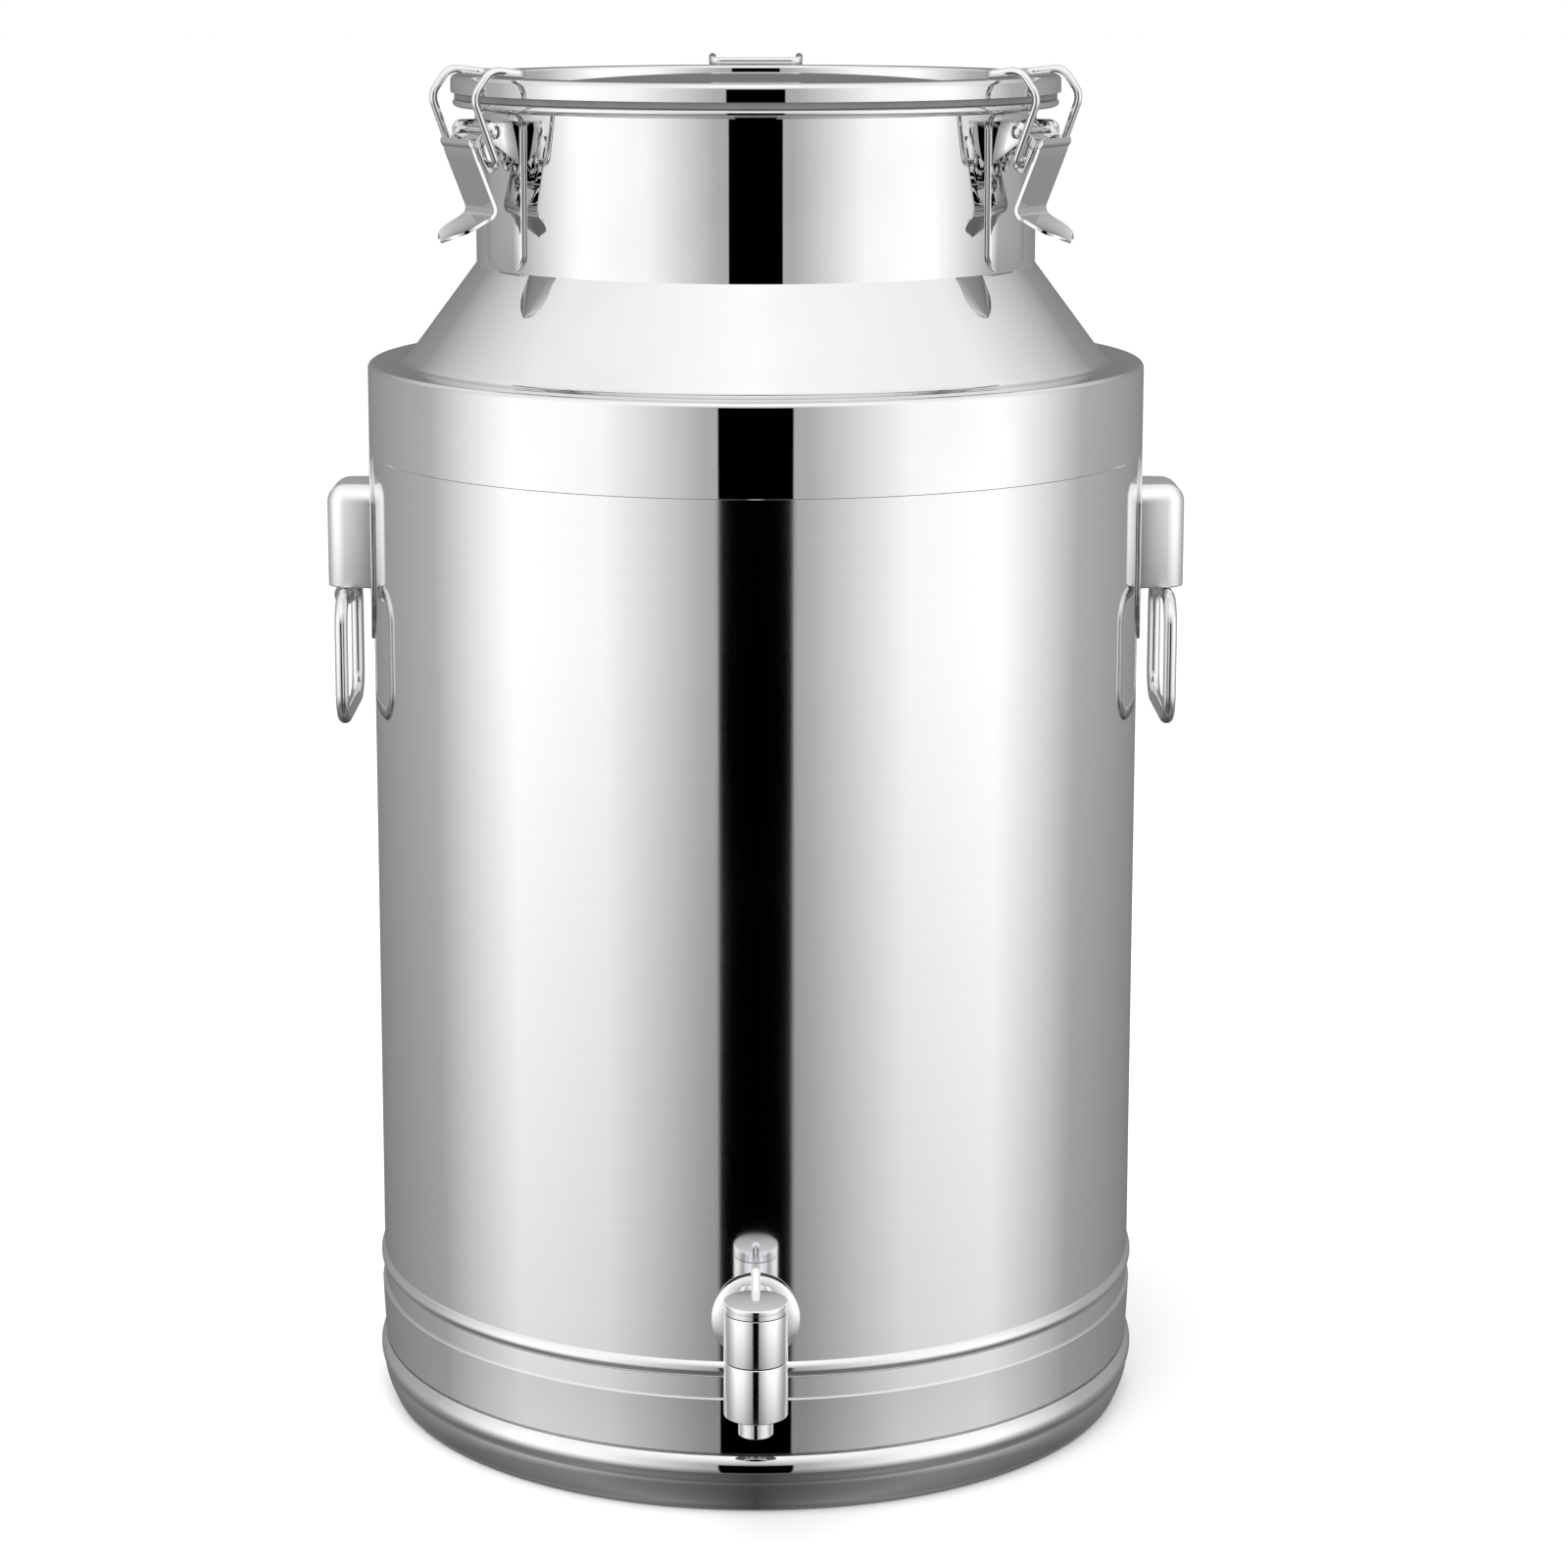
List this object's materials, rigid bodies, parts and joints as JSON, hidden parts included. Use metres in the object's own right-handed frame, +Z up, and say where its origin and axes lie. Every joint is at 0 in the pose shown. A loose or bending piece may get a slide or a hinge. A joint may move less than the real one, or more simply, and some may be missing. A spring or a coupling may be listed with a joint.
{
  "type": "milk can",
  "caption": "Upright round metal milk can with a conical shoulder, a clamped domed lid, wire bail latches, hinged side ring handles and a drain tap near the foot.",
  "frame": {"origin": "centre of the foot ring's resting plane, on the can's upright axis", "axes": "+Z up along the can's axis, the tap points to -Y, the side handles lie at -X and +X"},
  "size_m": [0.424, 0.4372, 0.6703],
  "materials": {
    "satin_steel": "satin brushed stainless sheet",
    "polished_steel": "mirror polished stainless sheet",
    "steel_wire": "polished stainless wire and rod",
    "tap_chrome": "bright chrome plate",
    "silicone": "dark silicone rubber",
    "acetal": "white acetal"
  },
  "bodies": {
    "vessel": {"barrel_shell": "satin_steel", "shoulder_shell": "polished_steel", "shoulder_cone": "polished_steel", "neck_ring": "polished_steel", "mouth_ring": "polished_steel", "bottom_plate": "satin_steel", "foot_ring": "polished_steel", "tap_rosette": "tap_chrome", "tap_outer_seal": "silicone", "tap_inner_seal": "silicone", "tap_locknut": "tap_chrome", "tap_body": "tap_chrome", "tap_outlet": "tap_chrome", "tap_nozzle": "tap_chrome", "latch_left_base": "polished_steel", "latch_left_pivot_pin": "steel_wire", "latch_right_base": "polished_steel", "latch_right_pivot_pin": "steel_wire", "latch_rear_base": "polished_steel", "latch_rear_pivot_pin": "steel_wire", "handle_left_plate": "polished_steel", "handle_left_bracket": "polished_steel", "handle_right_plate": "polished_steel", "handle_right_bracket": "polished_steel"},
    "lid": {"lid_shell": "polished_steel", "lid_gasket": "silicone"},
    "latch_left_lever_arm": {"latch_left_lever": "polished_steel"},
    "latch_left_bail_wire": {"latch_left_bail": "steel_wire"},
    "latch_right_lever_arm": {"latch_right_lever": "polished_steel"},
    "latch_right_bail_wire": {"latch_right_bail": "steel_wire"},
    "latch_rear_lever_arm": {"latch_rear_lever": "polished_steel"},
    "latch_rear_bail_wire": {"latch_rear_bail": "steel_wire"},
    "handle_left_grip": {"handle_left_ring": "steel_wire"},
    "handle_right_grip": {"handle_right_ring": "steel_wire"},
    "tap_handle": {"tap_knob": "tap_chrome", "tap_lever": "tap_chrome", "tap_valve_core": "acetal", "tap_lower_oring": "silicone", "tap_upper_oring": "silicone"}
  },
  "joints": [
    {"name": "lid_lift", "type": "slide", "parent": "vessel", "child": "lid", "axis": [0, 0, 1], "range_m": [0, 0.025]},
    {"name": "latch_left_open", "type": "hinge", "parent": "vessel", "child": "latch_left_lever_arm", "pos_m": [-0.13077, -0.0755, 0.64], "axis": [-0.5, 0.866, 0], "range_deg": [0, 95.5]},
    {"name": "latch_left_bail_swing", "type": "hinge", "parent": "latch_left_lever_arm", "child": "latch_left_bail_wire", "pos_m": [-0.1319, -0.07615, 0.625], "axis": [0.5, -0.866, 0], "range_deg": [0, 262.25]},
    {"name": "latch_right_open", "type": "hinge", "parent": "vessel", "child": "latch_right_lever_arm", "pos_m": [0.13077, -0.0755, 0.64], "axis": [-0.5, -0.866, 0], "range_deg": [0, 95.5]},
    {"name": "latch_right_bail_swing", "type": "hinge", "parent": "latch_right_lever_arm", "child": "latch_right_bail_wire", "pos_m": [0.1319, -0.07615, 0.625], "axis": [0.5, 0.866, 0], "range_deg": [0, 262.25]},
    {"name": "latch_rear_open", "type": "hinge", "parent": "vessel", "child": "latch_rear_lever_arm", "pos_m": [0, 0.151, 0.64], "axis": [1, 0, 0], "range_deg": [0, 95.5]},
    {"name": "latch_rear_bail_swing", "type": "hinge", "parent": "latch_rear_lever_arm", "child": "latch_rear_bail_wire", "pos_m": [0, 0.1523, 0.625], "axis": [-1, 0, 0], "range_deg": [0, 262.25]},
    {"name": "handle_left_swing", "type": "hinge", "parent": "vessel", "child": "handle_left_grip", "pos_m": [-0.2035, 0, 0.4095], "axis": [0, 1, 0], "range_deg": [-4, 100]},
    {"name": "handle_right_swing", "type": "hinge", "parent": "vessel", "child": "handle_right_grip", "pos_m": [0.2035, 0, 0.4095], "axis": [0, -1, 0], "range_deg": [-4, 100]},
    {"name": "tap_turn", "type": "hinge", "parent": "vessel", "child": "tap_handle", "pos_m": [0, -0.2295, 0.1], "axis": [0, 0, 1], "range_deg": [0, 90]}
  ],
  "couplings": [
    {"joint": "latch_left_open", "follows": "lid_lift", "rad_per_m": 66.323},
    {"joint": "latch_left_bail_swing", "follows": "lid_lift", "rad_per_m": 182.39},
    {"joint": "latch_right_open", "follows": "lid_lift", "rad_per_m": 66.323},
    {"joint": "latch_right_bail_swing", "follows": "lid_lift", "rad_per_m": 182.39},
    {"joint": "latch_rear_open", "follows": "lid_lift", "rad_per_m": 66.323},
    {"joint": "latch_rear_bail_swing", "follows": "lid_lift", "rad_per_m": 182.39}
  ]
}
